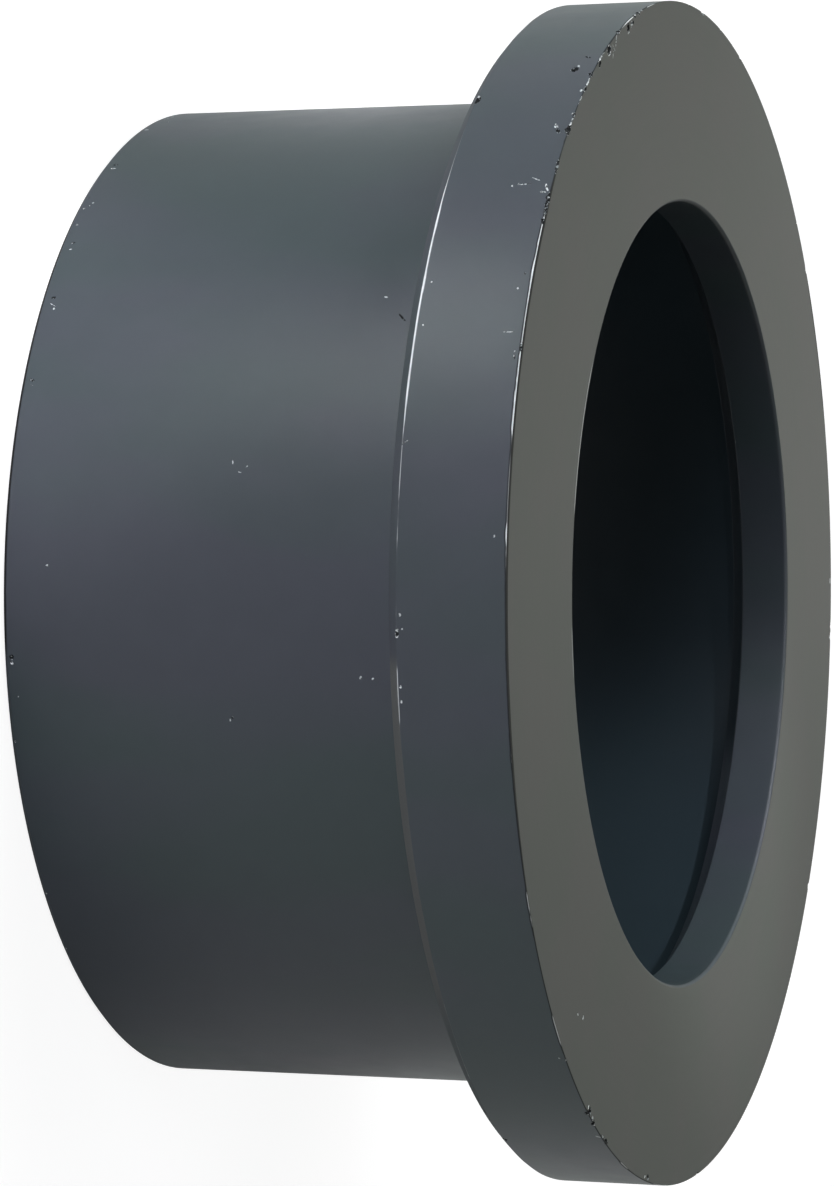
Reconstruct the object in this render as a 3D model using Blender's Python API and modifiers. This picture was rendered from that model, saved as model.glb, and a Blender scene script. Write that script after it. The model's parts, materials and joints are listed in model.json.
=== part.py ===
"""Lap joint stub end: a short plastic sleeve with a flat collar at one end.

The pipe is cemented into the sleeve's socket and stops against a narrow inner lip. A loose
backing flange slides over the barrel and draws the collar's flat face against a gasket.
The part is one moulding. It stands on the end of its barrel, with the sealing face up.
"""

import math

import bpy
from mathutils import Vector

# Driving dimensions in metres: the pipe sets the diameters, each wall or ledge adds to the last,
# and the pipe's end stops on the flat that the socket's root chamfer leaves of the inner ledge
PIPE_DIAMETER = 0.0630
BARREL_WALL = 0.0063
COLLAR_LEDGE = 0.0072
STOP_LEDGE = 0.0016
STOP_FLAT = 0.0005
SOCKET_TAPER = 0.00015

# Lengths along the axis
SOCKET_DEPTH = 0.0364
STOP_LENGTH = 0.0039
COLLAR_THICKNESS = 0.0086

# Edges and corners
ROOT_FILLET = 0.0025
COLLAR_BACK_CHAMFER = 0.0008
COLLAR_FACE_BREAK = 0.00015
BORE_EDGE_RADIUS = 0.00025
STOP_EDGE_RADIUS = 0.0002
SOCKET_LEAD_IN = 0.0012
BARREL_END_CHAMFER = 0.0004

# Facets round the axis, along a fillet and along an edge whose radius is no more than the fine one
TURN_STEPS = 120
FILLET_STEPS = 6
EDGE_STEPS = 3
FINE_EDGE = 0.001

# Finish of the grey moulding, as linear colour
GREY = (0.085, 0.102, 0.112, 1.0)
ROUGHNESS = 0.38

# Radii and heights that follow from the driving dimensions
socket_root_radius = PIPE_DIAMETER / 2
socket_mouth_radius = socket_root_radius + SOCKET_TAPER
barrel_radius = socket_root_radius + BARREL_WALL
collar_radius = barrel_radius + COLLAR_LEDGE
bore_radius = socket_root_radius - STOP_LEDGE
socket_root_chamfer = STOP_LEDGE - STOP_FLAT
face_height = SOCKET_DEPTH + STOP_LENGTH
collar_back_height = face_height - COLLAR_THICKNESS


def clear_scene():
    for thing in list(bpy.data.objects):
        bpy.data.objects.remove(thing, do_unlink=True)


def chamfered(corner, before, after, size):
    """The two points that cut a corner back by size along both of its sides."""
    return [corner + (side - corner).normalized() * size for side in (before, after)]


def rounded(corner, before, after, radius):
    """Points along the arc of that radius that touches both sides of a corner."""
    steps = FILLET_STEPS if radius > FINE_EDGE else EDGE_STEPS
    toward_before = (before - corner).normalized()
    toward_after = (after - corner).normalized()
    half_angle = toward_before.angle(toward_after) / 2
    centre_way = (toward_before + toward_after).normalized()
    centre = corner + centre_way * (radius / math.sin(half_angle))
    set_back = radius / math.tan(half_angle)
    first = (corner + toward_before * set_back - centre).normalized()
    last = (corner + toward_after * set_back - centre).normalized()
    return [centre + first.slerp(last, i / steps) * radius for i in range(steps + 1)]


def stub_end_section():
    """The wall's cut outline as (radius, height) points, from the sealing face down and back up the bore."""
    corners = [
        (collar_radius, face_height, chamfered, COLLAR_FACE_BREAK),
        (collar_radius, collar_back_height, chamfered, COLLAR_BACK_CHAMFER),
        (barrel_radius, collar_back_height, rounded, ROOT_FILLET),
        (barrel_radius, 0.0, chamfered, BARREL_END_CHAMFER),
        (socket_mouth_radius, 0.0, chamfered, SOCKET_LEAD_IN),
        (socket_root_radius, SOCKET_DEPTH, chamfered, socket_root_chamfer),
        (bore_radius, SOCKET_DEPTH, rounded, STOP_EDGE_RADIUS),
        (bore_radius, face_height, rounded, BORE_EDGE_RADIUS),
    ]
    places = [Vector((radius, height)) for radius, height, _, _ in corners]
    outline = []
    for i, (_, _, treated, size) in enumerate(corners):
        before, after = places[i - 1], places[(i + 1) % len(places)]
        outline += treated(places[i], before, after, size)
    return outline


def grey_plastic():
    material = bpy.data.materials.new("grey_plastic")
    material.use_nodes = True
    shader = material.node_tree.nodes["Principled BSDF"]
    shader.inputs["Base Color"].default_value = GREY
    shader.inputs["Roughness"].default_value = ROUGHNESS
    shader.inputs["Metallic"].default_value = 0.0
    material.diffuse_color = GREY
    return material


def turned(name, outline, material, collection):
    """A solid made by turning a closed outline once round the Z axis."""
    section = bpy.data.meshes.new(name + "_section")
    count = len(outline)
    section.from_pydata(
        [(point.x, 0.0, point.y) for point in outline],
        [(i, (i + 1) % count) for i in range(count)],
        [],
    )
    turning = bpy.data.objects.new(name + "_turning", section)
    collection.objects.link(turning)

    screw = turning.modifiers.new("turn", "SCREW")
    screw.axis = "Z"
    screw.angle = math.tau
    screw.steps = TURN_STEPS
    screw.render_steps = TURN_STEPS
    screw.use_merge_vertices = True
    screw.merge_threshold = 0.00001

    graph = bpy.context.evaluated_depsgraph_get()
    solid = bpy.data.meshes.new_from_object(turning.evaluated_get(graph))
    solid.name = name
    bpy.data.objects.remove(turning, do_unlink=True)
    bpy.data.meshes.remove(section)

    solid.shade_smooth()
    solid.set_sharp_from_angle(angle=math.radians(30))
    solid.materials.clear()
    solid.materials.append(material)
    piece = bpy.data.objects.new(name, solid)
    collection.objects.link(piece)
    return piece


clear_scene()
parts = bpy.data.collections.new("lap_joint_stub_end")
bpy.context.scene.collection.children.link(parts)
turned("stub_end", stub_end_section(), grey_plastic(), parts)
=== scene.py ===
"""Looks of the lap joint stub end: a worn grey moulding on a pale floor, in soft studio light.

The part stands on the end of its barrel. Heights run up its axis, and a turn is in degrees about
the axis from the camera's side towards -X.
"""
import json
import math
import random

import bpy
from mathutils import Matrix, Vector


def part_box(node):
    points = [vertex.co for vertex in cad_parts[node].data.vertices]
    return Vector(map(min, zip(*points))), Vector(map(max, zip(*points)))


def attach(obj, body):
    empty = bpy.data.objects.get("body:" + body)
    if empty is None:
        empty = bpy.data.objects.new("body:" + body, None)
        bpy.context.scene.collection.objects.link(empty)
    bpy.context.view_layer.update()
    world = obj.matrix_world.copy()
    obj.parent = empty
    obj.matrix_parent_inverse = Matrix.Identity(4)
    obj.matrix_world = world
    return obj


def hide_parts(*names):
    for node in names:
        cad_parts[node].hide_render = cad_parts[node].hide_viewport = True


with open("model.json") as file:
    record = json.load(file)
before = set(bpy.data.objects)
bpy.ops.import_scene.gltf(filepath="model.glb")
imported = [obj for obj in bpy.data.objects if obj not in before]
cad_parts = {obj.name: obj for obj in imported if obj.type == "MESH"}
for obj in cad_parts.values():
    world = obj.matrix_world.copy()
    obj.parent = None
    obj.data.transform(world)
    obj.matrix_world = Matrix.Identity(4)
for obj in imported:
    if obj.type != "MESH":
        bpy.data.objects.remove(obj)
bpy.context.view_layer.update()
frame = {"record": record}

# The stub end is one injection moulding in rigid grey plastic. Its wall is the same all the way
# round, so one cut outline is turned about the pipe's axis. Its overall size and the height of
# the collar's back are read from the frame, and its other sizes are those of the solid.
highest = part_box("stub_end")[1]
mount_places = {mount["name"]: mount["pos_m"] for mount in frame["record"]["mounts"]}
collar_radius = highest[0]
face_height = highest[2]
back_height = mount_places["collar_back"][2]
BARREL_RADIUS = 0.0378
SOCKET_ROOT_RADIUS = 0.0315
SOCKET_MOUTH_RADIUS = 0.03165
SOCKET_DEPTH = 0.0364
BORE_RADIUS = 0.0299
BACK_CHAMFER = 0.0008
END_CHAMFER = 0.0004
SOCKET_LEAD_IN = 0.0012
ROOT_FILLET = 0.0025
SOCKET_CHAMFER = 0.0011
LIP_EDGE = 0.0002
BORE_EDGE = 0.00025
FACE_EDGE = 0.00006
CHAMFER_EDGE = 0.00009
TURN_STEPS = 720
BORDER_WANDER = 0.00022
WANDER_SCALE = 150.0
SHARP_ANGLE = math.radians(34)

# Each corner of the cut outline: its radius and height, how far it is rounded and in how many steps
wall_corners = [
    (collar_radius, face_height, FACE_EDGE, 4),
    (collar_radius, back_height + BACK_CHAMFER, CHAMFER_EDGE, 3),
    (collar_radius - BACK_CHAMFER, back_height, CHAMFER_EDGE, 3),
    (BARREL_RADIUS, back_height, ROOT_FILLET, 10),
    (BARREL_RADIUS, END_CHAMFER, CHAMFER_EDGE, 3),
    (BARREL_RADIUS - END_CHAMFER, 0.0, CHAMFER_EDGE, 3),
    (SOCKET_MOUTH_RADIUS + SOCKET_LEAD_IN, 0.0, CHAMFER_EDGE, 2),
    (SOCKET_MOUTH_RADIUS, SOCKET_LEAD_IN, CHAMFER_EDGE, 2),
    (SOCKET_ROOT_RADIUS, SOCKET_DEPTH - SOCKET_CHAMFER, CHAMFER_EDGE, 2),
    (SOCKET_ROOT_RADIUS - SOCKET_CHAMFER, SOCKET_DEPTH, CHAMFER_EDGE, 2),
    (BORE_RADIUS, SOCKET_DEPTH, LIP_EDGE, 4),
    (BORE_RADIUS, face_height, BORE_EDGE, 6),
]


class Wire:
    """A socket in a node tree. Sums on it add Math nodes, and node() adds any other node."""

    def __init__(self, tree, socket=None):
        self.tree = tree
        self.socket = socket

    def node(self, kind, settings=None, inputs=None, output=0):
        made = self.tree.nodes.new(kind)
        for name, value in (settings or {}).items():
            setattr(made, name, value)
        for name, value in (inputs or {}).items():
            if isinstance(value, (Wire, list)):
                for wire in value if isinstance(value, list) else [value]:
                    self.tree.links.new(wire.socket, made.inputs[name])
            else:
                made.inputs[name].default_value = value
        return Wire(self.tree, made.outputs[output] if made.outputs else None)

    def other(self, output):
        return Wire(self.tree, self.socket.node.outputs[output])

    def sum(self, operation, *values):
        return self.node("ShaderNodeMath", {"operation": operation}, dict(enumerate(values)))

    def __add__(self, value):
        return self.sum("ADD", self, value)

    __radd__ = __add__

    def __sub__(self, value):
        return self.sum("SUBTRACT", self, value)

    def __rsub__(self, value):
        return self.sum("SUBTRACT", value, self)

    def __mul__(self, value):
        return self.sum("MULTIPLY", self, value)

    __rmul__ = __mul__

    def __gt__(self, value):
        return self.sum("GREATER_THAN", self, value)

    def __lt__(self, value):
        return self.sum("LESS_THAN", self, value)

    def __pow__(self, value):
        return self.sum("POWER", self, value)

    def __abs__(self):
        return self.sum("ABSOLUTE", self)


def radius_and_height(place):
    """How far a place is from the pipe's axis, and how high it is."""
    flat = place.node("ShaderNodeVectorMath", {"operation": "MULTIPLY"}, {0: place, 1: (1.0, 1.0, 0.0)})
    radius = flat.node("ShaderNodeVectorMath", {"operation": "LENGTH"}, {0: flat}, output="Value")
    return radius, place.node("ShaderNodeSeparateXYZ", inputs={0: place}, output="Z")


def new_tree(name, inputs):
    """An empty Geometry Nodes tree with named inputs, and the wire of its first input."""
    tree = bpy.data.node_groups.new(name, "GeometryNodeTree")
    for input_name, kind in inputs:
        tree.interface.new_socket(input_name, in_out="INPUT", socket_type="NodeSocket" + kind)
    tree.interface.new_socket("Result", in_out="OUTPUT", socket_type="NodeSocketGeometry")
    return tree, Wire(tree).node("NodeGroupInput")


def made_by_nodes(name, mesh, tree, values):
    """A plain mesh object that a Geometry Nodes tree makes from a mesh, at the origin."""
    piece = bpy.data.objects.new(name, mesh)
    bpy.context.scene.collection.objects.link(piece)
    maker = piece.modifiers.new(name, "NODES")
    maker.node_group = tree
    for item in tree.interface.items_tree:
        if item.name in values:
            maker[item.identifier] = values[item.name]
    graph = bpy.context.evaluated_depsgraph_get()
    finished = bpy.data.meshes.new_from_object(piece.evaluated_get(graph))
    piece.modifiers.clear()
    piece.data = finished
    finished.name = name
    return piece


def outline_mesh(corners):
    """The cut outline as a loop of edges out from the bore, with each corner's rounding on its point."""
    mesh = bpy.data.meshes.new("cut_outline")
    count = len(corners)
    mesh.from_pydata(
        [(radius - BORE_RADIUS, -height, 0.0) for radius, height, _, _ in corners],
        [(i, (i + 1) % count) for i in range(count)],
        [],
    )
    rounding = mesh.attributes.new("rounding", "FLOAT", "POINT")
    steps = mesh.attributes.new("steps", "INT", "POINT")
    for i, (_, _, size, step_count) in enumerate(corners):
        rounding.data[i].value = size
        steps.data[i].value = step_count
    return mesh


def turning_tree():
    """Nodes that round the outline's corners, turn it round the axis and take the nicks out of it."""
    tree, given = new_tree(
        "turned_wall",
        (
            ("Outline", "Geometry"),
            ("Turn Steps", "Int"),
            ("Bore Radius", "Float"),
            ("Collar Radius", "Float"),
            ("Chamfer Height", "Float"),
            ("Face Height", "Float"),
            ("Border Wander", "Float"),
            ("Nicks", "Object"),
            ("Scuffs", "Object"),
            ("Crumbs", "Object"),
            ("Wall Finish", "Material"),
            ("Face Finish", "Material"),
        ),
    )
    rounding = given.node("GeometryNodeInputNamedAttribute", {"data_type": "FLOAT"}, {"Name": "rounding"})
    steps = given.node("GeometryNodeInputNamedAttribute", {"data_type": "INT"}, {"Name": "steps"})
    outline = given.node("GeometryNodeMeshToCurve", inputs={"Mesh": given})
    outline = outline.node(
        "GeometryNodeFilletCurve",
        {"mode": "POLY"},
        {"Curve": outline, "Count": steps, "Radius": rounding, "Limit Radius": True},
    )
    bore = given.node(
        "GeometryNodeCurvePrimitiveCircle",
        inputs={"Resolution": given.other("Turn Steps"), "Radius": given.other("Bore Radius")},
    )
    wall = given.node("GeometryNodeCurveToMesh", inputs={"Curve": bore, "Profile Curve": outline})

    # The border between the rim and the chamfer behind it wanders
    place = given.node("GeometryNodeInputPosition")
    radius, height = radius_and_height(place)
    on_border = abs(height - given.other("Chamfer Height")) < CHAMFER_EDGE
    on_border = on_border * (radius > given.other("Collar Radius") - CHAMFER_EDGE)
    wander = given.node("ShaderNodeTexNoise", inputs={"Vector": place, "Scale": WANDER_SCALE})
    rise = (wander - 0.5) * given.other("Border Wander") * on_border
    shift = given.node("ShaderNodeCombineXYZ", inputs={"Z": rise})
    wall = wall.node("GeometryNodeSetPosition", inputs={"Geometry": wall, "Offset": shift})

    on_face = height > given.other("Face Height") - FACE_EDGE / 8
    for finish, selection in (("Wall Finish", True), ("Face Finish", on_face)):
        wall = wall.node(
            "GeometryNodeSetMaterial",
            inputs={"Geometry": wall, "Selection": selection, "Material": given.other(finish)},
        )
    nicks, scuffs, crumbs = (
        given.node("GeometryNodeObjectInfo", inputs={"Object": given.other(name)}, output="Geometry")
        for name in ("Nicks", "Scuffs", "Crumbs")
    )
    wall = wall.node(
        "GeometryNodeMeshBoolean", {"operation": "UNION", "solver": "EXACT"}, {1: [wall, crumbs]}
    )
    wall = wall.node(
        "GeometryNodeMeshBoolean",
        {"operation": "DIFFERENCE", "solver": "EXACT"},
        {0: wall, 1: [nicks, scuffs], "Self Intersection": True},
    )
    too_sharp = given.node("GeometryNodeInputMeshEdgeAngle") > SHARP_ANGLE
    wall = wall.node("GeometryNodeSetShadeSmooth", inputs={"Geometry": wall, "Shade Smooth": True})
    wall = wall.node(
        "GeometryNodeSetShadeSmooth",
        {"domain": "EDGE"},
        {"Geometry": wall, "Selection": too_sharp, "Shade Smooth": False},
    )
    wall = wall.node("GeometryNodeRealizeInstances", inputs={"Geometry": wall})
    given.node("NodeGroupOutput", inputs={"Result": wall})
    return tree


# Knocks from handling: nicks in the edges and walls, pale scuffs where the plastic was strained, and
# crumbs of it raised on the walls. Each is a jagged pebble sunk half into the surface, cut out of the wall
# or left standing on it. Their dark hollows are painted shade, and their pale specks are partly painted
# glints.

# A row gives the edge or wall, the turn, the height (on the face, the radius) in mm, the length,
# width and depth in mm, and the lean off the level in degrees
nick_rows = [
    ("front_edge", 71.6, 0.0, 0.45, 0.35, 0.24, 0),
    ("front_edge", 70.2, 0.0, 0.40, 0.35, 0.22, 0),
    ("face", 67.7, 44.60, 0.60, 0.60, 0.34, 20),
    ("face", 69.4, 44.62, 0.30, 0.26, 0.20, 0),
    ("front_edge", 64.6, 0.0, 0.60, 0.40, 0.26, 0),
    ("face", 61.0, 44.66, 0.95, 0.60, 0.34, 10),
    ("face", 57.6, 44.72, 0.70, 0.34, 0.20, 15),
    ("rim", 58.4, 39.30, 0.60, 0.22, 0.10, 60),
    ("rim", 56.0, 38.75, 0.70, 0.55, 0.26, 0),
    ("front_edge", 54.9, 0.0, 0.55, 0.40, 0.28, 0),
    ("front_edge", 52.4, 0.0, 0.60, 0.35, 0.22, 0),
    ("front_edge", 48.2, 0.0, 0.40, 0.30, 0.20, 0),
    ("front_edge", 46.0, 0.0, 1.20, 0.60, 0.30, 0),
    ("rim", 45.8, 39.50, 0.60, 0.30, 0.14, 30),
    ("front_edge", 41.0, 0.0, 1.40, 0.24, 0.18, 0),
    ("front_edge", 37.2, 0.0, 1.00, 0.36, 0.24, 0),
    ("front_edge", 35.9, 0.0, 1.10, 0.40, 0.26, 0),
    ("front_edge", 34.6, 0.0, 0.70, 0.30, 0.22, 0),
    ("rim", 28.9, 39.75, 0.20, 0.16, 0.04, 0),
    ("front_edge", 21.6, 0.0, 0.60, 0.30, 0.15, 0),
    ("rim", 20.7, 39.90, 0.40, 0.12, 0.06, 10),
    ("face", -55.6, 44.72, 0.60, 0.60, 0.34, 0),
    ("front_edge", -55.3, 0.0, 0.50, 0.40, 0.26, 0),
    ("front_edge", -57.4, 0.0, 0.50, 0.34, 0.26, 0),
    ("face", -61.6, 44.84, 1.10, 0.30, 0.26, 0),
    ("face", -76.4, 44.72, 0.50, 0.45, 0.26, 0),
    ("back_edge", 51.1, 0.0, 0.90, 0.55, 0.28, 0),
    ("back_edge", -62.0, 0.0, 0.60, 0.45, 0.22, 0),
    ("back_edge", -3.6, 0.0, 0.40, 0.30, 0.16, 0),
    ("barrel", 30.8, 28.40, 0.90, 0.16, 0.05, 45),
    ("barrel", 57.9, 1.10, 0.34, 0.22, 0.10, 90),
    ("barrel", 42.5, 1.10, 0.34, 0.22, 0.10, 90),
    ("barrel", 34.3, 1.05, 0.32, 0.22, 0.10, 90),
    ("barrel", 23.6, 0.90, 0.34, 0.24, 0.10, 60),
    ("barrel", -7.3, 0.70, 0.40, 0.36, 0.16, 0),
    ("barrel", -16.7, 0.40, 0.26, 0.22, 0.10, 0),
    ("barrel", -20.7, 0.20, 0.22, 0.20, 0.08, 0),
    ("barrel", -26.5, 0.20, 0.22, 0.20, 0.08, 0),
    ("barrel", -13.6, 17.40, 0.20, 0.14, 0.06, 0),
    ("end_edge", 49.0, 0.0, 0.60, 0.40, 0.22, 0),
    ("end_edge", 69.0, 0.0, 0.60, 0.40, 0.22, 0),
]
scuff_rows = [
    ("front_edge", 72.6, 0.0, 0.50, 0.14, 0.10, 0),
    ("face", 68.9, 44.60, 0.55, 0.40, 0.10, 30),
    ("face", 67.6, 44.20, 0.55, 0.10, 0.07, 0),
    ("face", 63.4, 44.66, 0.90, 0.14, 0.10, 50),
    ("face", 62.4, 44.40, 0.80, 0.12, 0.08, 120),
    ("face", 61.9, 44.00, 0.60, 0.10, 0.06, 50),
    ("face", 60.9, 44.66, 1.10, 0.78, 0.08, 10),
    ("front_edge", 58.4, 0.0, 1.70, 0.12, 0.10, 0),
    ("front_edge", 53.4, 0.0, 1.30, 0.14, 0.10, 0),
    ("front_edge", 50.4, 0.0, 1.20, 0.10, 0.07, 0),
    ("front_edge", 47.2, 0.0, 0.80, 0.16, 0.10, 0),
    ("rim", 38.9, 38.35, 0.90, 0.10, 0.05, 95),
    ("rim", 39.5, 39.00, 0.70, 0.10, 0.06, 65),
    ("rim", 37.9, 39.75, 0.50, 0.14, 0.08, 80),
    ("rim", 23.1, 39.25, 0.80, 0.09, 0.05, 90),
    ("rim", 27.4, 39.40, 0.18, 0.14, 0.05, 0),
    ("rim", 21.2, 39.85, 0.20, 0.12, 0.05, 0),
    ("rim", 20.8, 39.85, 0.50, 0.10, 0.05, 0),
    ("rim", 12.9, 32.60, 0.80, 0.10, 0.05, 130),
    ("rim", 46.6, 39.30, 0.60, 0.14, 0.08, 35),
    ("rim", 4.8, 39.40, 0.18, 0.14, 0.06, 0),
    ("rim", -2.0, 32.75, 0.30, 0.22, 0.08, 0),
    ("rim", -3.2, 32.62, 0.13, 0.12, 0.05, 0),
    ("rim", -3.2, 32.92, 0.13, 0.12, 0.05, 0),
    ("rim", -8.2, 32.70, 0.24, 0.16, 0.06, 0),
    ("rim", -9.5, 32.70, 0.24, 0.16, 0.06, 0),
    ("face", -46.5, 41.00, 0.30, 0.16, 0.08, 30),
    ("face", -48.1, 40.40, 0.36, 0.18, 0.08, 100),
    ("face", -55.0, 44.60, 0.40, 0.16, 0.16, 90),
    ("face", -56.7, 44.80, 0.30, 0.26, 0.16, 0),
    ("face", -60.5, 44.86, 0.30, 0.22, 0.16, 0),
    ("rim", -60.2, 40.05, 0.40, 0.12, 0.08, 60),
    ("front_edge", -46.6, 0.0, 0.30, 0.20, 0.14, 0),
    ("rim", -46.4, 39.90, 0.34, 0.10, 0.06, 60),
    ("face", -75.4, 44.70, 0.34, 0.22, 0.12, 30),
    ("face", 178.5, 44.60, 0.50, 0.30, 0.10, 0),
    ("face", -175.2, 44.65, 0.40, 0.30, 0.10, 0),
    ("face", -173.4, 44.65, 0.35, 0.25, 0.10, 0),
    ("barrel", 33.3, 1.15, 0.60, 0.07, 0.05, 60),
    ("barrel", 32.8, 1.30, 0.18, 0.16, 0.06, 0),
    ("barrel", 57.0, 1.10, 0.40, 0.18, 0.06, 90),
    ("barrel", 50.6, 0.60, 0.20, 0.16, 0.06, 0),
    ("barrel", 49.6, 1.20, 0.19, 0.16, 0.06, 0),
    ("barrel", 49.0, 1.02, 0.20, 0.16, 0.06, 0),
    ("barrel", 48.6, 0.68, 0.20, 0.16, 0.06, 0),
    ("barrel", 45.6, 0.76, 0.30, 0.18, 0.06, 30),
    ("barrel", 41.5, 1.10, 0.24, 0.18, 0.06, 90),
    ("barrel", 23.0, 0.95, 0.20, 0.10, 0.06, 60),
    ("barrel", 69.2, 0.80, 0.40, 0.20, 0.06, 90),
    ("barrel", 75.4, 0.80, 0.40, 0.20, 0.06, 120),
    ("barrel", 77.1, 0.90, 0.36, 0.20, 0.06, 90),
    ("barrel", 73.1, 1.57, 0.16, 0.13, 0.06, 0),
    ("barrel", -7.9, 0.70, 0.24, 0.22, 0.10, 0),
    ("barrel", -11.6, 1.00, 0.14, 0.12, 0.05, 0),
    ("barrel", -35.9, 0.40, 0.20, 0.16, 0.06, 0),
    ("barrel", -44.3, 0.40, 0.20, 0.16, 0.06, 0),
    ("barrel", -13.9, 17.20, 0.20, 0.10, 0.05, 0),
    ("barrel", 13.9, 17.30, 0.30, 0.08, 0.04, 10),
    ("barrel", 12.8, 17.90, 0.26, 0.08, 0.04, 80),
    ("barrel", 13.4, 18.40, 0.22, 0.08, 0.04, 140),
]
crumb_rows = [
    ("rim", 56.6, 38.95, 0.22, 0.16, 0.05, 30),
    ("rim", 52.0, 40.05, 0.36, 0.18, 0.05, 0),
    ("rim", 48.3, 40.10, 0.16, 0.12, 0.05, 0),
    ("rim", 46.4, 39.20, 0.24, 0.14, 0.05, 30),
    ("rim", 38.4, 39.95, 0.80, 0.16, 0.07, 20),
    ("rim", 38.7, 37.40, 0.16, 0.12, 0.05, 0),
    ("rim", 38.9, 37.85, 0.18, 0.14, 0.05, 0),
    ("rim", 28.2, 33.10, 0.14, 0.12, 0.04, 0),
    ("rim", 23.9, 33.00, 0.14, 0.12, 0.04, 0),
    ("barrel", 33.5, 26.90, 0.34, 0.14, 0.05, 75),
    ("barrel", 2.7, 3.60, 0.30, 0.14, 0.05, 90),
    ("barrel", -9.1, 27.20, 0.26, 0.20, 0.06, 0),
    ("barrel", -9.2, 28.10, 0.16, 0.14, 0.05, 0),
]
# The radius and height of each edge or wall, and how many degrees its outward side looks up
knocked_places = {
    "front_edge": (collar_radius, face_height, 45),
    "back_edge": (collar_radius, back_height + BACK_CHAMFER, -20),
    "end_edge": (BARREL_RADIUS, 0.0, -45),
    "rim": (collar_radius, None, 0),
    "barrel": (BARREL_RADIUS, None, 0),
    "face": (None, face_height, 90),
}
MM = 0.001

# The far side was handled as much, so it has as many knocks
KNOCK_SEED = 7
FAR_SIDE = (82, 275)
FAR_EDGE_NICKS = 24
FAR_WALL_MARKS = 14
hand = random.Random(KNOCK_SEED)
for i in range(FAR_EDGE_NICKS):
    edge = hand.choice(["front_edge", "front_edge", "back_edge", "end_edge"])
    size = hand.uniform(0.3, 1.0), hand.uniform(0.2, 0.5), hand.uniform(0.12, 0.24)
    nick_rows.append((edge, hand.uniform(*FAR_SIDE), 0.0, *size, 0))
for i in range(FAR_WALL_MARKS):
    wall, low, high = hand.choice([("rim", 33.0, 39.8), ("barrel", 0.8, 29.0)])
    turn = hand.uniform(*FAR_SIDE)
    height = hand.uniform(low, high)
    size = hand.uniform(0.3, 1.2), hand.uniform(0.1, 0.3), 0.07
    hand.choice([nick_rows, scuff_rows]).append((wall, turn, height, *size, hand.uniform(0, 180)))

# The plastic is strained pale beside each nick in an edge
STRAIN_WIDTH = 0.10
STRAIN_DEPTH = 0.4
STRAIN_LEAN = 8
for where, turn, along, length, width, depth, lean in nick_rows:
    if where.endswith("edge"):
        size = length + STRAIN_WIDTH * 2, width + STRAIN_WIDTH, depth * STRAIN_DEPTH
        scuff_rows.append((where, turn, along, *size, lean + STRAIN_LEAN))


def knock_mesh(name, rows):
    """A mesh of the knocks' places, with each one's half size and the way it lies on its point."""
    places, half_sizes, lies = [], [], []
    for where, turn, along, length, width, depth, lean in rows:
        radius, height, look_up = knocked_places[where]
        radius = along * MM if radius is None else radius
        height = along * MM if height is None else height
        turn, look_up, lean = math.radians(turn), math.radians(look_up), math.radians(lean)
        outward = Vector((-math.sin(turn), -math.cos(turn), 0.0))
        level = Vector((-math.cos(turn), math.sin(turn), 0.0))
        facing = outward * math.cos(look_up) + Vector((0.0, 0.0, math.sin(look_up)))
        long_way = level * math.cos(lean) + facing.cross(level) * math.sin(lean)
        places.append(outward * radius + Vector((0.0, 0.0, height)))
        half_sizes.append((length * MM / 2, width * MM / 2, depth * MM))
        lies.append(Matrix((long_way, facing.cross(long_way), facing)).transposed().to_euler())
    mesh = bpy.data.meshes.new(name)
    mesh.from_pydata(places, [], [])
    half_size = mesh.attributes.new("half_size", "FLOAT_VECTOR", "POINT")
    lie = mesh.attributes.new("lie", "FLOAT_VECTOR", "POINT")
    for i in range(len(rows)):
        half_size.data[i].vector = half_sizes[i]
        lie.data[i].vector = lies[i]
    return mesh


def pebble_tree():
    """Nodes that put a jagged pebble at each place."""
    tree, places = new_tree(
        "pebbles",
        (("Places", "Geometry"), ("Jag", "Float"), ("Grain", "Float"), ("Finish", "Material")),
    )
    vector = {"data_type": "FLOAT_VECTOR"}
    half_size = places.node("GeometryNodeInputNamedAttribute", vector, {"Name": "half_size"})
    lie = places.node("GeometryNodeInputNamedAttribute", vector, {"Name": "lie"})
    ball = places.node("GeometryNodeMeshIcoSphere", inputs={"Radius": 1.0, "Subdivisions": 3})
    pebbles = places.node(
        "GeometryNodeInstanceOnPoints",
        inputs={"Points": places, "Instance": ball, "Rotation": lie, "Scale": half_size},
    )
    pebbles = pebbles.node("GeometryNodeRealizeInstances", inputs={"Geometry": pebbles})
    place = places.node("GeometryNodeInputPosition")
    grain = places.node(
        "ShaderNodeTexNoise", inputs={"Vector": place, "Scale": places.other("Grain")}, output="Color"
    )
    push = grain.node("ShaderNodeVectorMath", {"operation": "SUBTRACT"}, {0: grain, 1: (0.5, 0.5, 0.5)})
    depth = half_size.node("ShaderNodeSeparateXYZ", inputs={0: half_size}, output="Z")
    reach = depth * places.other("Jag")
    push = push.node("ShaderNodeVectorMath", {"operation": "SCALE"}, {0: push, "Scale": reach})
    pebbles = pebbles.node("GeometryNodeSetPosition", inputs={"Geometry": pebbles, "Offset": push})
    pebbles = pebbles.node(
        "GeometryNodeSetMaterial", inputs={"Geometry": pebbles, "Material": places.other("Finish")}
    )
    places.node("NodeGroupOutput", inputs={"Result": pebbles})
    return tree


PLASTIC_IOR = 1.53
JAG = 2.2
GRAIN = 5000.0
# The near-black of the nicks' hollows is painted shade. The pale specks are strain whitening made bright
# enough to stand in for glints.
NICK_HOLLOW_SHADE = (0.012, 0.014, 0.015, 1.0)
TORN_PALE_AND_GLINT = (0.45, 0.48, 0.49, 1.0)
STRAINED = (0.11, 0.12, 0.125, 1.0)
WHITENED_AND_GLINT = (0.85, 0.87, 0.87, 1.0)
SPECK_SOFTNESS = 0.08
TORN_ROUGHNESS = 0.9
SPECK_GLOSS = 0.4


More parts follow.
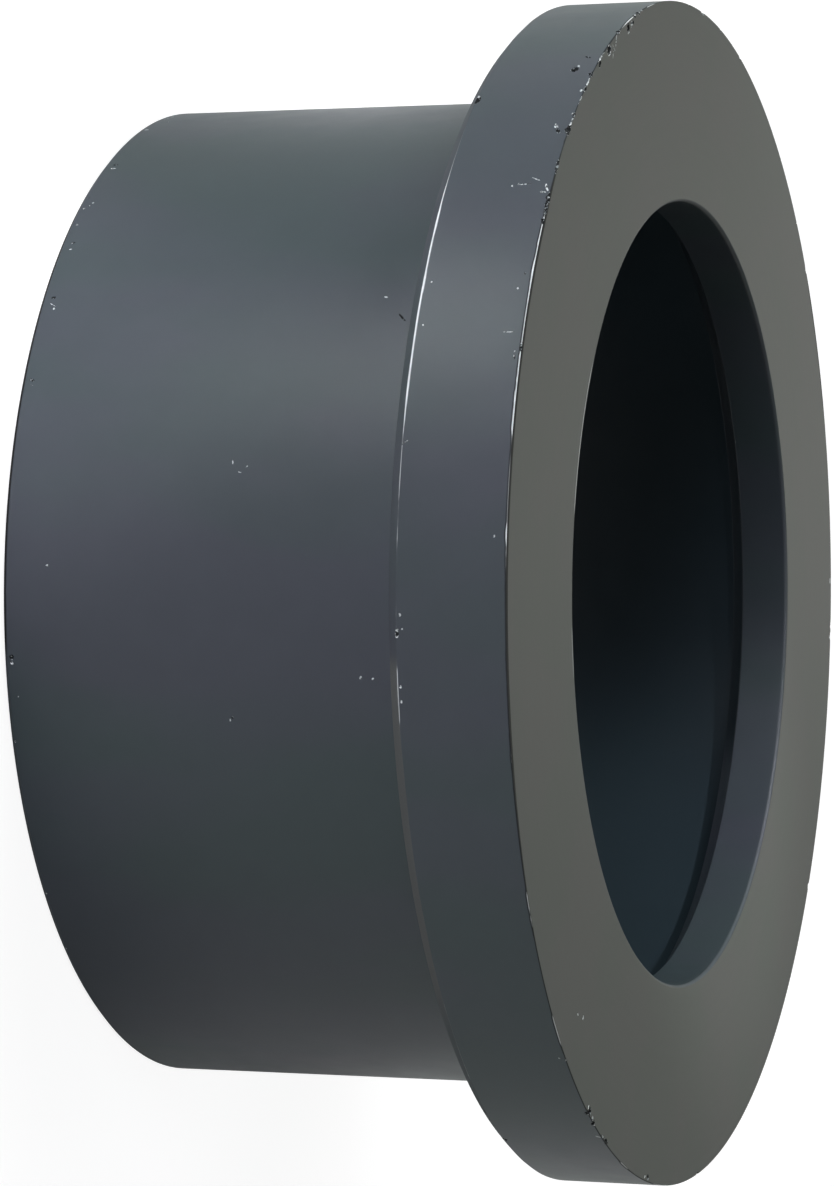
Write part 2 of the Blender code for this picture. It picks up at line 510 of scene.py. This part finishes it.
def new_finish(name):
    """A material, its Principled shader and a wire of the part's own coordinates."""
    material = bpy.data.materials.new(name)
    material.use_nodes = True
    shader = material.node_tree.nodes["Principled BSDF"]
    shader.inputs["IOR"].default_value = PLASTIC_IOR
    return material, shader, Wire(material.node_tree).node("ShaderNodeTexCoord", output="Object")


def feed(shader, wires):
    for name, wire in wires.items():
        wire.tree.links.new(wire.socket, shader.inputs[name])


def eased(value, low, high):
    """0 at low and 1 at high, with a soft step between them."""
    return value.node(
        "ShaderNodeMapRange",
        {"interpolation_type": "SMOOTHSTEP"},
        {"Value": value, "From Min": low, "From Max": high},
    )


def mixed(mask, first, second):
    """The first colour where the mask is 0 and the second where it is 1."""
    return mask.node("ShaderNodeMix", {"data_type": "RGBA"}, {0: mask, 6: first, 7: second}, output=2)


def shaded(colour, shade):
    """A colour made darker or lighter."""
    return colour.node("ShaderNodeVectorMath", {"operation": "SCALE"}, {0: colour, "Scale": shade})


def uneven(mask, amount):
    """A shade that is 1 where the mask is a half, and goes half the amount either way."""
    return 1 - amount / 2 + mask * amount


def noise(place, scale, detail=2.0):
    return place.node("ShaderNodeTexNoise", inputs={"Vector": place, "Scale": scale, "Detail": detail})


def torn_finish(name, dark, pale, pale_from):
    """Torn plastic: dark in its hollows as painted shade, and pale in specks that are partly strain
    whitening and partly painted glints.
    """
    material, shader, place = new_finish(name)
    whitened_and_glints = eased(noise(place, GRAIN), pale_from, pale_from + SPECK_SOFTNESS)
    roughness = TORN_ROUGHNESS - whitened_and_glints * SPECK_GLOSS
    feed(shader, {"Base Color": mixed(whitened_and_glints, dark, pale), "Roughness": roughness})
    return material


pebbles = pebble_tree()
torn_grey = torn_finish("torn_grey", NICK_HOLLOW_SHADE, TORN_PALE_AND_GLINT, 0.55)
strained_grey = torn_finish("strained_grey", STRAINED, WHITENED_AND_GLINT, 0.43)
crumb_grey = torn_finish("crumb_grey", STRAINED, WHITENED_AND_GLINT, 0.40)
nicks, scuffs, crumbs = (
    made_by_nodes(name, knock_mesh(name, rows), pebbles, {"Jag": JAG, "Grain": GRAIN, "Finish": finish})
    for name, rows, finish in (
        ("nicks", nick_rows, torn_grey),
        ("scuffs", scuff_rows, strained_grey),
        ("crumbs", crumb_rows, crumb_grey),
    )
)

# The walls are as they left the mould: satin bluish grey and faintly rippled, with clouds of violet drawn
# out along the axis, and a violet tint of the light painted on in stretches. The socket and lip are
# darkened as painted shade. Pale lines along the collar's edges are painted highlights with some rubbed
# wear, with a darker band beside the front one. The back chamfer is painted lighter in stretches, partly
# as painted light and partly as scraping, and darker elsewhere as painted shade. The end of the barrel is
# darker along its edge in stretches.
WALL_GREY = (0.056, 0.076, 0.081, 1.0)
WALL_VIOLET = (0.067, 0.073, 0.092, 1.0)
SOCKET_SHADED_GREY = (0.017, 0.027, 0.033, 1.0)
SCRAPED_AND_LIT_GREY = (0.105, 0.108, 0.106, 1.0)
EDGE_LINE_WHITE = (0.95, 0.97, 0.97, 1.0)
LIP_SHADE = 0.66
CHAMFER_SHADE = 0.88
BORDER_BLUR = 0.00004
MOTTLE_SCALE = 420.0
MOTTLE_SHADE = 0.12
CLOUD_SCALE = 90.0
CLOUD_EDGES = (0.38, 0.62)
DRAWN_OUT = (1.0, 1.0, 0.4)
VIOLET_SHARE = 0.6
EDGE_LINE_WIDTH = 0.00024
EDGE_LINE_SCALE = 900.0
EDGE_LINE_SHADE = 0.5
PATCH_SCALE = 200.0
PATCH_EDGES = (0.50, 0.62)
PATCH_STRENGTH = 0.3
DARK_BAND_BEYOND = 0.45
DARK_BAND_SHADE = 0.8
DARK_END_SHADE = 0.9
RELIEF = 0.00001
RIPPLE_SCALE = 70.0
RIPPLE_HEIGHT = 12
PORE_SCALE = 2600.0
PORE_HEIGHT = 0.25
SATIN_ROUGHNESS = 0.26
MOTTLE_ROUGHNESS = 0.10
BORE_EDGE_ROUGHNESS = 0.3
CHAMFER_ROUGHNESS = 0.25
DARK_BAND_ROUGHNESS = 0.6

# Each stretch starts at a turn, is at full strength between two more, and ends at the fourth
FRONT_LINE_STRETCHES = (
    (12, 15, 34, 37, 0.36),
    (0, 6, 10, 15, 0.24),
    (56, 58, 72, 76, 0.14),
    (141, 147, 158, 163, 0.4),
)
BACK_LINE_STRETCHES = (
    (11, 19, 29, 52, 0.50),
    (0, 5, 9, 15, 0.14),
    (-12, -11, -7, -6, 0.26),
    (165, 168, 175, 178, 0.5),
)
SCRAPED_AND_LIT_STRETCHES = ((-45, -35, -7, -5, 1), (110, 115, 140, 150, 1), (-160, -155, -135, -130, 1))
VIOLET_LIGHT_STRETCHES = ((-18, -8, 10, 22, 0.7), (24, 28, 34, 40, 0.4), (-168, -160, -145, -130, 0.8))
LIT_ROOT_STRETCHES = ((-160, -150, -100, -80, 1),)
DARK_END_STRETCHES = ((-8, -5, 66, 76, 1), (120, 130, 160, 170, 1), (-130, -120, -100, -90, 0.6))


def turn_about_axis(place):
    """The turn in degrees from the camera's side towards -X."""
    x = place.node("ShaderNodeSeparateXYZ", inputs={0: place}, output="X")
    turn = place.sum("ARCTAN2", 0 - x, 0 - x.other("Y"))
    return turn.sum("DEGREES", turn)


def in_stretches(turn, stretches):
    """The strength at a turn, from all the stretches."""
    masks = [
        eased(turn, first, full_from) * eased(turn, last, full_to) * strength
        for first, full_from, full_to, last, strength in stretches
    ]
    return sum(masks[1:], masks[0])


def edge_line(distance, strength):
    """1 within a width of an edge that grows with the strength."""
    return eased(strength * EDGE_LINE_WIDTH - distance, 0.0, EDGE_LINE_WIDTH * 0.3)


def from_collar_edge(radius, height, edge_height):
    """The distance to an edge of the collar's rim."""
    return ((collar_radius - radius) ** 2 + (edge_height - height) ** 2) ** 0.5


def wall_finish():
    material, shader, place = new_finish("moulded_grey")
    radius, height = radius_and_height(place)
    turn = turn_about_axis(place)
    border = back_height + BACK_CHAMFER

    mottle = noise(place, MOTTLE_SCALE, 3.0)
    streaked = place.node("ShaderNodeVectorMath", {"operation": "MULTIPLY"}, {0: place, 1: DRAWN_OUT})
    clouds = eased(noise(streaked, CLOUD_SCALE, 3.0), *CLOUD_EDGES)
    # The clouds are the plastic's own. The stretches paint a violet tint of the light by turn.
    violet = (clouds + in_stretches(turn, VIOLET_LIGHT_STRETCHES)) * VIOLET_SHARE
    colour = mixed(violet, WALL_GREY, WALL_VIOLET)

    lip = (radius < BARREL_RADIUS - ROOT_FILLET) * (height > SOCKET_DEPTH)
    # The socket is coloured darker as painted shade.
    socket = (radius < SOCKET_MOUTH_RADIUS + SOCKET_LEAD_IN) * (height < SOCKET_DEPTH)
    # In one stretch the socket's root chamfer keeps the wall colour instead, as painted light.
    lit_root = (height > SOCKET_DEPTH - SOCKET_CHAMFER) * in_stretches(turn, LIT_ROOT_STRETCHES)
    colour = mixed(socket * (1 - lit_root), colour, SOCKET_SHADED_GREY)
    # The back chamfer is painted lighter in some stretches, as painted light on the camera's side towards
    # +X and as scraping on the far side. Elsewhere CHAMFER_SHADE darkens it as painted shade.
    chamfer = eased(height, border + BORDER_BLUR, border - BORDER_BLUR)
    chamfer = chamfer * (radius > collar_radius - BACK_CHAMFER - BORDER_BLUR)
    scraped_and_lit = chamfer * in_stretches(turn, SCRAPED_AND_LIT_STRETCHES)
    colour = mixed(scraped_and_lit, colour, SCRAPED_AND_LIT_GREY)
    shade = (1 - (chamfer - scraped_and_lit) * (1 - CHAMFER_SHADE)) * (1 - lip * (1 - LIP_SHADE))
    colour = shaded(colour, uneven(mottle, MOTTLE_SHADE) * shade)

    # The pale lines along the collar's edges are painted highlights in the turn stretches, with rubbed
    # wear in random patches.
    front = from_collar_edge(radius, height, face_height)
    back = from_collar_edge(radius, height, border)
    patches = eased(noise(place, PATCH_SCALE, 4.0), *PATCH_EDGES) * PATCH_STRENGTH
    front_strength = in_stretches(turn, FRONT_LINE_STRETCHES) + patches
    back_strength = in_stretches(turn, BACK_LINE_STRETCHES) + patches * 0.5
    # A darker band lies just beyond the pale front line, in the same stretches.
    dark_band = edge_line(front - EDGE_LINE_WIDTH * DARK_BAND_BEYOND, front_strength) * DARK_BAND_SHADE
    # The barrel's end edge is darker in stretches.
    dark_end = eased(height, END_CHAMFER, END_CHAMFER * 0.6)
    dark_end = dark_end * (radius > BARREL_RADIUS - END_CHAMFER * 1.1)
    dark_band = dark_band + dark_end * in_stretches(turn, DARK_END_STRETCHES) * DARK_END_SHADE
    colour = shaded(colour, 1 - dark_band)
    pale_edge_line = edge_line(front, front_strength)
    pale_edge_line = pale_edge_line.sum("MAXIMUM", pale_edge_line, edge_line(back, back_strength))
    colour = mixed(pale_edge_line * uneven(noise(place, EDGE_LINE_SCALE), EDGE_LINE_SHADE), colour, EDGE_LINE_WHITE)

    relief = noise(place, RIPPLE_SCALE, 1.0) * RIPPLE_HEIGHT + noise(place, PORE_SCALE) * PORE_HEIGHT
    bump = relief.node("ShaderNodeBump", inputs={"Height": relief, "Distance": RELIEF})
    bore_edge = radius < BORE_RADIUS + BORE_EDGE
    bore_edge = bore_edge * eased(height, face_height - BORE_EDGE * 1.5, face_height - BORE_EDGE)
    roughness = SATIN_ROUGHNESS + mottle * MOTTLE_ROUGHNESS + bore_edge * BORE_EDGE_ROUGHNESS
    roughness = roughness + chamfer * CHAMFER_ROUGHNESS + dark_band * DARK_BAND_ROUGHNESS
    feed(shader, {"Base Color": colour, "Roughness": roughness, "Normal": bump})
    return material


# The sealing face was faced off on a lathe, which left it matt, warmer in colour and very faintly ringed.
# It is darker just inside its outer edge in stretches, and a pale line along the bore's edge in stretches
# is a painted highlight.
FACE_GREY = (0.046, 0.056, 0.045, 1.0)
FACE_WARM = (0.051, 0.056, 0.048, 1.0)
FACE_ROUGHNESS = 0.50
WARM_SCALE = 110.0
RING_SCALE = 1500.0
RING_SHADE = 0.04
RING_ROUGHNESS = 0.02
RING_HEIGHT = 0.000002
FACE_DARK_BAND_WIDTH = 0.00042
FACE_DARK_BAND_SHADE = 0.93
FACE_DARK_BAND_ROUGHNESS = 0.3
FACE_DARK_BAND_STRETCHES = ((-38, -6, 34, 44, 1), (141, 147, 158, 163, 0.6))
BORE_HIGHLIGHT_WIDTH = 0.00010
BORE_HIGHLIGHT_SHARE = 0.6
BORE_HIGHLIGHT_STRETCHES = ((10, 12, 30, 34, 1), (-12, -10, -6, -4, 0.6))


def face_finish():
    material, shader, place = new_finish("faced_grey")
    radius, height = radius_and_height(place)
    turn = turn_about_axis(place)
    rings = radius.node(
        "ShaderNodeTexNoise", {"noise_dimensions": "1D"}, {"W": radius, "Scale": RING_SCALE, "Detail": 4.0}
    )
    colour = mixed(eased(noise(place, WARM_SCALE, 3.0), *CLOUD_EDGES), FACE_GREY, FACE_WARM)
    # A darker line runs just inside the outer edge in stretches.
    to_edge = collar_radius - FACE_EDGE - radius
    dark_band_width = in_stretches(turn, FACE_DARK_BAND_STRETCHES) * FACE_DARK_BAND_WIDTH
    dark_band = eased(dark_band_width - to_edge, 0.0, FACE_DARK_BAND_WIDTH * 0.2) * FACE_DARK_BAND_SHADE
    colour = shaded(colour, uneven(rings, RING_SHADE) * (1 - dark_band))
    # The pale line along the bore's edge in stretches is a painted highlight.
    to_bore = radius - BORE_RADIUS - BORE_EDGE
    pale_edge_line = eased(to_bore, BORE_HIGHLIGHT_WIDTH, BORE_HIGHLIGHT_WIDTH * 0.5) * in_stretches(turn, BORE_HIGHLIGHT_STRETCHES)
    colour = mixed(pale_edge_line * BORE_HIGHLIGHT_SHARE, colour, EDGE_LINE_WHITE)
    bump = rings.node("ShaderNodeBump", inputs={"Height": rings, "Distance": RING_HEIGHT})
    roughness = FACE_ROUGHNESS + rings * RING_ROUGHNESS + dark_band * FACE_DARK_BAND_ROUGHNESS
    feed(shader, {"Base Color": colour, "Roughness": roughness, "Normal": bump})
    return material


moulding = made_by_nodes(
    "stub_end_moulding",
    outline_mesh(wall_corners),
    turning_tree(),
    {
        "Turn Steps": TURN_STEPS,
        "Bore Radius": BORE_RADIUS,
        "Collar Radius": collar_radius,
        "Chamfer Height": back_height + BACK_CHAMFER,
        "Face Height": face_height,
        "Border Wander": BORDER_WANDER,
        "Nicks": nicks,
        "Scuffs": scuffs,
        "Crumbs": crumbs,
        "Wall Finish": wall_finish(),
        "Face Finish": face_finish(),
    },
)
for knocks in (nicks, scuffs, crumbs):
    bpy.data.objects.remove(knocks, do_unlink=True)

# The flat faces stay flat in the light beside their small rounded edges
evening = moulding.modifiers.new("evening", "WEIGHTED_NORMAL")
evening.weight = 100
evening.keep_sharp = True
graph = bpy.context.evaluated_depsgraph_get()
moulding.data = bpy.data.meshes.new_from_object(moulding.evaluated_get(graph))
moulding.data.name = "stub_end_moulding"
moulding.modifiers.clear()
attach(moulding, "root")
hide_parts("stub_end")

# The floor is one plain pale sheet that the stub end stands on. It looks white to the camera and
# keeps the stub end's soft shadow.
FLOOR_SIZE = 6.0
FLOOR_COLOUR = (0.75, 0.75, 0.75, 1.0)
SEEN_WHITE = 0.88
SEEN_COLOUR = (0.32, 0.32, 0.32, 1.0)
half = FLOOR_SIZE / 2
floor_mesh = bpy.data.meshes.new("floor")
floor_mesh.from_pydata(
    [(-half, -half, 0.0), (half, -half, 0.0), (half, half, 0.0), (-half, half, 0.0)], [], [(0, 1, 2, 3)]
)
floor = bpy.data.objects.new("floor", floor_mesh)
bpy.context.scene.collection.objects.link(floor)

floor_paint = bpy.data.materials.new("floor_paint")
floor_paint.use_nodes = True
floor_tree = floor_paint.node_tree
floor_tree.nodes.remove(floor_tree.nodes["Principled BSDF"])
to_camera = Wire(floor_tree).node("ShaderNodeLightPath", output="Is Camera Ray")
matt = to_camera.node("ShaderNodeBsdfDiffuse", inputs={"Color": FLOOR_COLOUR})
white = to_camera.node("ShaderNodeEmission", inputs={"Strength": SEEN_WHITE})
lit = to_camera.node("ShaderNodeBsdfDiffuse", inputs={"Color": SEEN_COLOUR})
pale = to_camera.node("ShaderNodeAddShader", inputs={0: white, 1: lit})
seen = to_camera.node("ShaderNodeMixShader", inputs={0: to_camera, 1: matt, 2: pale})
floor_tree.links.new(seen.socket, floor_tree.nodes["Material Output"].inputs["Surface"])
floor_mesh.materials.append(floor_paint)

# Soft studio light: a dim even surround, soft boxes on stands, lamps that pool light on the floor
# beside the part, which its satin walls mirror as their sheen, and two lamps aimed into the bore.
SURROUND = 0.15
world = bpy.data.worlds.new("surround")
bpy.context.scene.world = world
world.use_nodes = True
world_tree = world.node_tree
to_camera = Wire(world_tree).node("ShaderNodeLightPath", output="Is Camera Ray")
strength = SURROUND + to_camera * (1 - SURROUND)
world_tree.links.new(strength.socket, world_tree.nodes["Background"].inputs["Strength"])
world_tree.nodes["Background"].inputs["Color"].default_value = (1.0, 1.0, 1.0, 1.0)


def hang(light, turn, rise, aim_radius, aim_height, distance):
    """Hangs a light at a distance from its aim, at a turn and a rise off the level in degrees."""
    turn, rise = math.radians(turn), math.radians(rise)
    outward = Vector((-math.sin(turn), -math.cos(turn), 0.0))
    up = Vector((0.0, 0.0, 1.0))
    way = outward * math.cos(rise) + up * math.sin(rise)
    aim = outward * aim_radius + up * aim_height
    facing = way.to_track_quat("Z", "Y").to_matrix().to_4x4()
    hung = bpy.data.objects.new(light.name, light)
    hung.matrix_world = Matrix.Translation(aim + way * distance) @ facing
    bpy.context.scene.collection.objects.link(hung)


BOX_SIZE = 0.6
BOX_DISTANCE = 1.4
# Each box's turn and rise, its power and its tint
soft_boxes = [
    ("top_box", 90, 72, 3.0, (1.0, 0.95, 0.97)),
    ("front_box", 35, 3, 11.3, (0.85, 0.89, 1.0)),
    ("side_box", 90, 40, 7.2, (0.89, 1.0, 0.97)),
    ("rear_side_box", 115, 8, 2.0, (1.0, 1.0, 1.0)),
    ("low_box", -90, 10, 1.05, (0.97, 1.0, 0.95)),
    ("far_box", -130, 10, 1.1, (0.95, 1.0, 0.90)),
    ("back_box", 169, 10, 1.3, (1.0, 1.0, 0.95)),
    ("far_back_box", -174, 10, 0.92, (1.0, 1.0, 0.95)),
]
for name, turn, rise, power, tint in soft_boxes:
    light = bpy.data.lights.new(name, "AREA")
    light.shape = "SQUARE"
    light.size = BOX_SIZE
    light.energy = power
    light.color = tint
    hang(light, turn, rise, 0.0, face_height / 2, BOX_DISTANCE)

LAMP_SIZE = 0.02
LAMP_DISTANCE = 0.6
LAMP_TINT = (0.96, 0.93, 1.0)
LAMP_BLEND = 0.9
# Where each lamp aims, as a turn, a radius and a height, then its pool's radius, its rise and power
aimed_lamps = [
    ("near_pool", 28, 0.0518, 0.0, 0.012, 45, 39.0),
    ("low_pool", -15, 0.0538, 0.0, 0.018, 60, 2.0),
    ("under_pool", -80, 0.0560, 0.0, 0.035, 60, 1.9),
    ("top_pool", 124, 0.0640, 0.0, 0.030, 75, 6.5),
    ("middle_pool", 41, 0.0878, 0.0, 0.026, 90, 26.0),
    ("outer_pool", 44, 0.1448, 0.0, 0.044, 90, 70.0),
    ("socket_lamp", -124, 0.031, 0.025, 0.0098, 130, 76.0),
    ("lip_lamp", -160, 0.031, 0.034, 0.012, 135, 8.5),
]
for name, turn, aim_radius, aim_height, pool_radius, rise, power in aimed_lamps:
    light = bpy.data.lights.new(name, "SPOT")
    light.energy = power
    light.color = LAMP_TINT
    light.spot_size = 2 * math.atan(pool_radius / LAMP_DISTANCE)
    light.spot_blend = LAMP_BLEND
    light.shadow_soft_size = LAMP_SIZE
    hang(light, turn, rise, aim_radius, aim_height, LAMP_DISTANCE)

# The camera looks at the sealing face from low on the part's side. It is rolled, so that the pipe's
# axis lies level in the picture.
VIEW_ELEVATION = math.radians(19.3187)
VIEW_ROLL = math.radians(0.2677)
LENS_MM = 133.286
SENSOR_MM = 36.0
# How far the face's centre lies to the camera's right, down and forward
FACE_CENTRE_SEEN = (0.0208236, 0.0000237, 0.3362152)
axis_right = Vector((0.0, math.sin(VIEW_ELEVATION), math.cos(VIEW_ELEVATION)))
axis_down = Vector((1.0, 0.0, 0.0))
right = axis_right * math.cos(VIEW_ROLL) - axis_down * math.sin(VIEW_ROLL)
down = axis_right * math.sin(VIEW_ROLL) + axis_down * math.cos(VIEW_ROLL)
forward = Vector((0.0, math.cos(VIEW_ELEVATION), -math.sin(VIEW_ELEVATION)))
to_face = right * FACE_CENTRE_SEEN[0] + down * FACE_CENTRE_SEEN[1] + forward * FACE_CENTRE_SEEN[2]
eye = Vector((0.0, 0.0, face_height)) - to_face
lens = bpy.data.cameras.new("camera")
lens.sensor_width = SENSOR_MM
lens.lens = LENS_MM
camera = bpy.data.objects.new("camera", lens)
camera.matrix_world = Matrix.Translation(eye) @ Matrix((right, -down, -forward)).transposed().to_4x4()
bpy.context.scene.collection.objects.link(camera)
bpy.context.scene.camera = camera
bpy.context.scene.view_settings.view_transform = "Standard"
